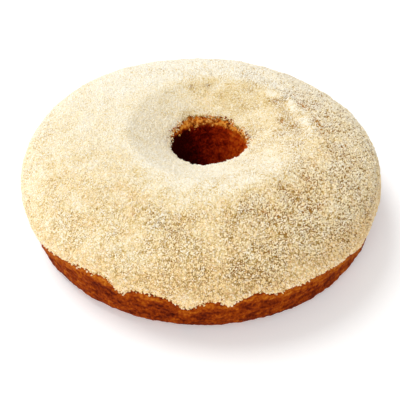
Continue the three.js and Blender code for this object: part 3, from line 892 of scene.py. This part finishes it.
# Each grain gets its own proportions, turn and tint
GOLDEN_TINT = 0.75
scale = add_node(
    scatter, "ShaderNodeVectorMath", {0: drawn["proportions"], "Scale": size.outputs[0]}, operation="SCALE"
)
placed = add_node(
    scatter, "GeometryNodeInstanceOnPoints",
    {
        "Points": lifted.outputs[0], "Instance": shapes.outputs[0], "Pick Instance": True,
        "Instance Index": drawn["shape"], "Rotation": drawn["turn"], "Scale": scale.outputs[0],
    },
)
tint = add_node(
    scatter, "ShaderNodeMath",
    {0: skin_fields["golden"], 1: GOLDEN_TINT, 2: drawn["tint"]}, operation="MULTIPLY_ADD",
)
tinted = add_node(
    scatter, "GeometryNodeStoreNamedAttribute",
    {"Geometry": placed.outputs[0], "Name": "tint", "Value": tint.outputs[0]},
    data_type="FLOAT", domain="INSTANCE",
)
real = add_node(scatter, "GeometryNodeRealizeInstances", {0: tinted.outputs[0]})

# The grains' map has their tint along it, so that a bake of it holds each shade in one strip
MAP_SPAN = 0.9
along_map = add_node(
    scatter, "ShaderNodeMath",
    {0: skin_fields["tint"], 1: MAP_SPAN, 2: drawn["along_map"]}, operation="MULTIPLY_ADD",
)
on_map = add_node(scatter, "ShaderNodeCombineXYZ", {"X": along_map.outputs[0], "Y": drawn["across_map"]})
mapped = add_node(
    scatter, "GeometryNodeStoreNamedAttribute",
    {"Geometry": real.outputs[0], "Name": "OFBake", "Value": on_map.outputs[0]},
    data_type="FLOAT2", domain="CORNER",
)
finished = add_node(
    scatter, "GeometryNodeSetMaterial", {"Geometry": mapped.outputs[0], "Material": given["Finish"]}
)
add_node(scatter, "NodeGroupOutput", {0: finished.outputs[0]})


def crumb_material(name, shades):
    """Dry crumbs, of milk powder or of cake: matt and opaque, each of one shade between the given ones."""
    material = new_material(name)
    tree = material.node_tree
    grain_tint = add_node(tree, "ShaderNodeAttribute", attribute_name="tint").outputs["Fac"]
    spread = zip(np.linspace(0, 1, len(shades)), shades)
    colour = add_node(tree, "ShaderNodeValToRGB", {"Fac": grain_tint}, spread)
    surface = add_node(
        tree, "ShaderNodeBsdfPrincipled",
        {
            "Base Color": colour.outputs["Color"], "Roughness": 0.9, "IOR": 1.4,
            "Specular IOR Level": 0.1,
        },
    )
    add_node(tree, "ShaderNodeOutputMaterial", {"Surface": surface.outputs["BSDF"]})
    return material


def scatter_piece(name, skin, settings):
    """A piece that the tree scatters over a skin, made a plain mesh."""
    piece = new_object(name, skin)
    modifier = piece.modifiers.new("scatter", "NODES")
    modifier.node_group = scatter
    for setting, value in settings.items():
        modifier[grain_sockets[setting]] = value
    evaluated = piece.evaluated_get(bpy.context.evaluated_depsgraph_get())
    scattered_mesh = bpy.data.meshes.new_from_object(evaluated)
    piece.modifiers.clear()
    piece.data = scattered_mesh
    return piece


# Each kind of grain: its share of the spots, its sizes, how far it stands out, and its shades from where
# the powder is white to where it is golden
GRAIN_SPACING = 0.66
GRAIN_KINDS = {
    "pale_grains": ((0.0, 0.22), (1.0, 1.5), 0.3, ("#FEFBF2", "#FEF3DA", "#FEE9C4")),
    "cream_grains": ((0.22, 0.44), (1.0, 1.5), 0.25, ("#FDFAF0", "#FBEDC8", "#FBDEA2")),
    "golden_grains": ((0.44, 0.66), (1.0, 1.45), 0.2, ("#FCF9EF", "#F6E8C1", "#F4D498")),
    "tan_grains": ((0.66, 0.88), (0.95, 1.4), 0.1, ("#FAF7EE", "#EEDDBC", "#E6BE88")),
    "brown_grains": ((0.88, 1.0), (0.9, 1.3), 0.0, ("#F6F2E6", "#E4D4AC", "#C49E62")),
}
CLUMP_SPACING = 3.2
CLUMP_SIZES = (1.3, 2.0)
CLUMP_SHADES = ("#FCF9EE", "#F9EBC6", "#F8DAA0")
for name, (kind, sizes, lift, shades) in GRAIN_KINDS.items():
    grains = scatter_piece(name, skin_mesh, {
        "Spacing": GRAIN_SPACING * MM, "Kind From": kind[0], "Kind To": kind[1], "Smallest": sizes[0] * MM,
        "Largest": sizes[1] * MM, "Lift": lift, "Sides": 5, "Rings": 2, "Seed": 5,
        "Finish": crumb_material("milk_" + name, shades),
    })
    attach(grains, "root")
clumps = scatter_piece("powder_clumps", skin_mesh, {
    "Spacing": CLUMP_SPACING * MM, "Kind From": 0.0, "Kind To": 1.0, "Smallest": CLUMP_SIZES[0] * MM,
    "Largest": CLUMP_SIZES[1] * MM, "Lift": 0.0, "Sides": 6, "Rings": 4, "Seed": 9,
    "Finish": crumb_material("milk_powder_clumps", CLUMP_SHADES),
})
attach(clumps, "root")


# Crumbs on the lip of the hole
# Crumbs of crust that tore loose when the tin's tube was drawn out. They cling to the bare lip at the
# back of the hole, amber and brown, with the darker ones along the powder's edge.

CRUMB_ROWS = 40
CRUMBS_ABOVE, CRUMBS_BELOW = 5, 16
CRUMB_LIFT = 0.2
CRUMB_PATCHES, CRUMB_COVER, CRUMB_PATCHINESS = (5.0, 91.0), 0.45, 1.2
CRUMB_SHADING, CRUMB_BROWNING, CRUMB_CONTRAST, TOP_CRUMB_BROWNING = (2.0, 93.0), 0.48, 2.2, 0.3
WALL_FROM, WALL_TO = ends_at["mouth"] - 2, ends_at["mouth"] + 1
CRUMB_BACK = (-0.2, 0.3)
CRUMB_SPACING = 0.7
CRUMB_SIZES = (0.5, 1.4)
CRUMB_SHADES = ("#F4BE68", "#C8701E", "#5C1606")

crumb_arcs = np.linspace(ends_at["funnel"] - CRUMBS_ABOVE, ends_at["mouth"] + CRUMBS_BELOW, CRUMB_ROWS)
crumb_arcs, crumb_azimuths = np.meshgrid(crumb_arcs, coat_azimuths, indexing="ij")
crumb_skin = ring_mesh("crumb_skin", ring_points(crumb_arcs, crumb_azimuths, CRUMB_LIFT), False)
crumb_places = ring_points(crumb_arcs, crumb_azimuths, 0.0)
crumb_cover = np.clip(CRUMB_COVER + CRUMB_PATCHINESS * noise_at(crumb_places, *CRUMB_PATCHES), 0, 1)
crumb_cover = crumb_cover * (1 - smoothstep(crumb_arcs, WALL_FROM, WALL_TO))
crumb_cover = crumb_cover * smoothstep(np.sin(crumb_azimuths), *CRUMB_BACK)
crumb_browned = CRUMB_BROWNING + CRUMB_CONTRAST * noise_at(crumb_places, *CRUMB_SHADING)
up_the_lip = smoothstep(ends_at["funnel"] - crumb_arcs, 0, CRUMBS_ABOVE)
crumb_browned = crumb_browned + TOP_CRUMB_BROWNING * up_the_lip

# The tree's golden field here holds how browned a crumb is
even = np.ones(crumb_arcs.shape)
give_fields(crumb_skin, cover=crumb_cover, golden=np.clip(crumb_browned, 0, 1), coarse=even, sunk=0 * even)
crumbs = scatter_piece("crust_crumbs", crumb_skin, {
    "Spacing": CRUMB_SPACING * MM, "Kind From": 0.0, "Kind To": 1.0, "Smallest": CRUMB_SIZES[0] * MM,
    "Largest": CRUMB_SIZES[1] * MM, "Lift": 0.0, "Sides": 6, "Rings": 4, "Seed": 13,
    "Finish": crumb_material("torn_crumbs", CRUMB_SHADES),
})
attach(crumbs, "root")


# Studio
# A plain white floor under a weak even sky. A strong soft lamp stands high behind the cake's left, and a
# weaker one low in front of its left, and the camera looks down at it from the front.

FLOOR_SIDE = 6.0
half = FLOOR_SIDE / 2
floor_corners = [(-half, -half, 0), (half, -half, 0), (half, half, 0), (-half, half, 0)]
floor_mesh = bpy.data.meshes.new("studio_floor")
floor_mesh.from_pydata(floor_corners, [], [(0, 1, 2, 3)])
floor = new_object("studio_floor", floor_mesh)

# White floor paint: even and matt, and lit a little from within so that it stays white round the cake
floor_paint = bpy.data.materials.new("white_floor_paint")
floor_paint.use_nodes = True
floor_surface = floor_paint.node_tree.nodes["Principled BSDF"]
floor_surface.inputs["Base Color"].default_value = linear("#FAFAFA")
floor_surface.inputs["Roughness"].default_value = 0.9
floor_surface.inputs["Emission Color"].default_value = linear("#FFFFFF")
floor_surface.inputs["Emission Strength"].default_value = 0.2
floor_mesh.materials.append(floor_paint)

SKY_STRENGTH = 0.53
sky = bpy.data.worlds.new("studio_sky")
bpy.context.scene.world = sky
sky.use_nodes = True
sky.node_tree.nodes["Background"].inputs["Color"].default_value = linear("#FFFFFF")
sky.node_tree.nodes["Background"].inputs["Strength"].default_value = SKY_STRENGTH

# Where each lamp stands, in metres, and its power in watts
LAMPS = {"high_lamp": ((-0.85, 0.6, 1.7), 20.7), "low_lamp": ((-0.87, -1.5, 1.0), 11.0)}
LAMP_SIZE = 1.0
for name, (lamp_place, power) in LAMPS.items():
    lamp_data = bpy.data.lights.new(name, "AREA")
    lamp_data.shape = "DISK"
    lamp_data.size = LAMP_SIZE
    lamp_data.energy = power
    lamp = new_object(name, lamp_data)
    lamp.location = lamp_place
    lamp.rotation_euler = (-lamp.location).to_track_quat("-Z", "Y").to_euler()

CAMERA_PLACE = (-0.0009, -0.2574, 0.2198)
CAMERA_PITCH = math.radians(41.52)
FRAME_PIXELS = 400
FOCAL_PIXELS = 461.8
camera_data = bpy.data.cameras.new("photo_camera")
camera_data.lens = camera_data.sensor_width * FOCAL_PIXELS / FRAME_PIXELS
camera_data.clip_start = 0.01
camera = new_object("photo_camera", camera_data)
camera.location = CAMERA_PLACE
camera.rotation_euler = (UP - CAMERA_PITCH, 0, 0)
bpy.context.scene.camera = camera
bpy.context.scene.view_settings.view_transform = "Standard"
